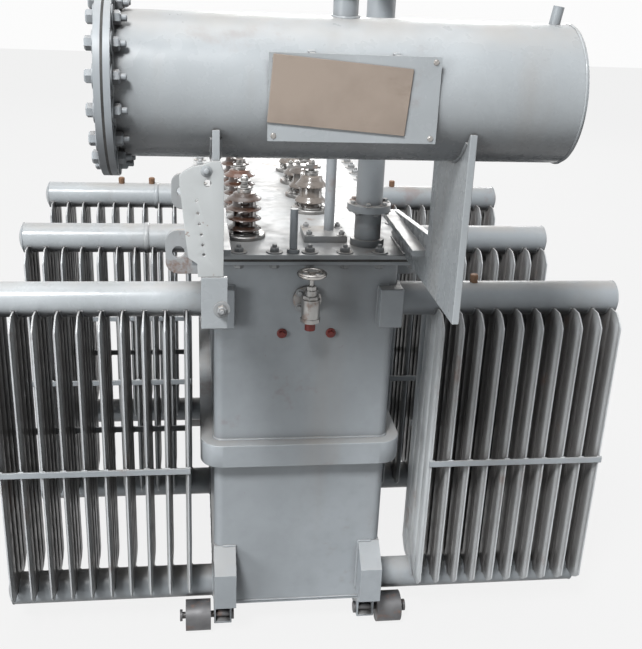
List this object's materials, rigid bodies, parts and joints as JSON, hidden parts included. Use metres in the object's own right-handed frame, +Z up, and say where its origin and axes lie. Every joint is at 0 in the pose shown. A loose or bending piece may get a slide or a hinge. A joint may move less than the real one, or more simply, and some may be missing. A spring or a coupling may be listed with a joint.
{
  "type": "distribution transformer",
  "caption": "Oil-filled power distribution transformer: finned radiators on both sides, a drum conservator across one end, and rollers under the tank.",
  "frame": {"origin": "on the floor, under the middle of the whole outline", "axes": "+Z up; -Y is the narrow end that carries the conservator; +X is to the right when facing that end"},
  "size_m": [1.418, 1.623, 1.5968],
  "materials": {
    "grey_enamel": "semi-gloss",
    "seal_rubber": "matte",
    "pale_plate": "satin",
    "brown_glaze": "gloss",
    "red_paint": "satin",
    "bare_steel": "satin",
    "dark_iron": "rough"
  },
  "bodies": {
    "transformer": {"tank_walls": "grey_enamel", "tank_base": "grey_enamel", "tank_rim": "grey_enamel", "cover_gasket": "seal_rubber", "tank_cover": "grey_enamel", "stiffener_band": "grey_enamel", "upper_corner_pads": "grey_enamel", "jacking_lugs": "grey_enamel", "lifting_lugs": "grey_enamel", "skid_channels": "grey_enamel", "roller_axles": "dark_iron", "left_straps": "grey_enamel", "right_straps": "grey_enamel", "conservator_shell": "grey_enamel", "conservator_welded_end": "grey_enamel", "conservator_flange": "grey_enamel", "conservator_gasket": "seal_rubber", "conservator_cover": "grey_enamel", "label_plate": "grey_enamel", "sign_plate": "pale_plate", "filler_neck": "grey_enamel", "breather_stub": "grey_enamel", "support_left": "grey_enamel", "support_right": "grey_enamel", "vent_pipe": "grey_enamel", "oil_pipe": "grey_enamel", "raised_plate": "grey_enamel", "hv_bushings": "brown_glaze", "lv_bushings": "brown_glaze", "thermometer_pocket": "grey_enamel", "valve_body": "grey_enamel", "valve_plug": "red_paint", "left_top_headers": "grey_enamel", "left_bottom_headers": "grey_enamel", "fins_left_front": "grey_enamel", "fins_left_middle": "grey_enamel", "fins_left_rear": "grey_enamel", "right_top_headers": "grey_enamel", "right_bottom_headers": "grey_enamel", "fins_right_front": "grey_enamel", "fins_right_middle": "grey_enamel", "fins_right_rear": "grey_enamel"},
    "handwheel": {"valve_handwheel": "bare_steel"},
    "roller_front_right": {"roller_front_right": "dark_iron"},
    "roller_front_left": {"roller_front_left": "dark_iron"},
    "roller_rear_right": {"roller_rear_right": "dark_iron"},
    "roller_rear_left": {"roller_rear_left": "dark_iron"}
  },
  "joints": [
    {"name": "valve_handwheel_turn", "type": "hinge", "parent": "transformer", "child": "handwheel", "pos_m": [-0.024, -0.4185, 0.9405], "axis": [0, 0, 1], "range_deg": [0, 720]},
    {"name": "roller_front_right_spin", "type": "hinge", "parent": "transformer", "child": "roller_front_right", "pos_m": [0.21, -0.3285, 0.037], "axis": [1, 0, 0], "continuous": true},
    {"name": "roller_front_left_spin", "type": "hinge", "parent": "transformer", "child": "roller_front_left", "pos_m": [-0.258, -0.3285, 0.037], "axis": [1, 0, 0], "continuous": true},
    {"name": "roller_rear_right_spin", "type": "hinge", "parent": "transformer", "child": "roller_rear_right", "pos_m": [0.21, 0.7315, 0.037], "axis": [1, 0, 0], "continuous": true},
    {"name": "roller_rear_left_spin", "type": "hinge", "parent": "transformer", "child": "roller_rear_left", "pos_m": [-0.258, 0.7315, 0.037], "axis": [1, 0, 0], "continuous": true}
  ]
}
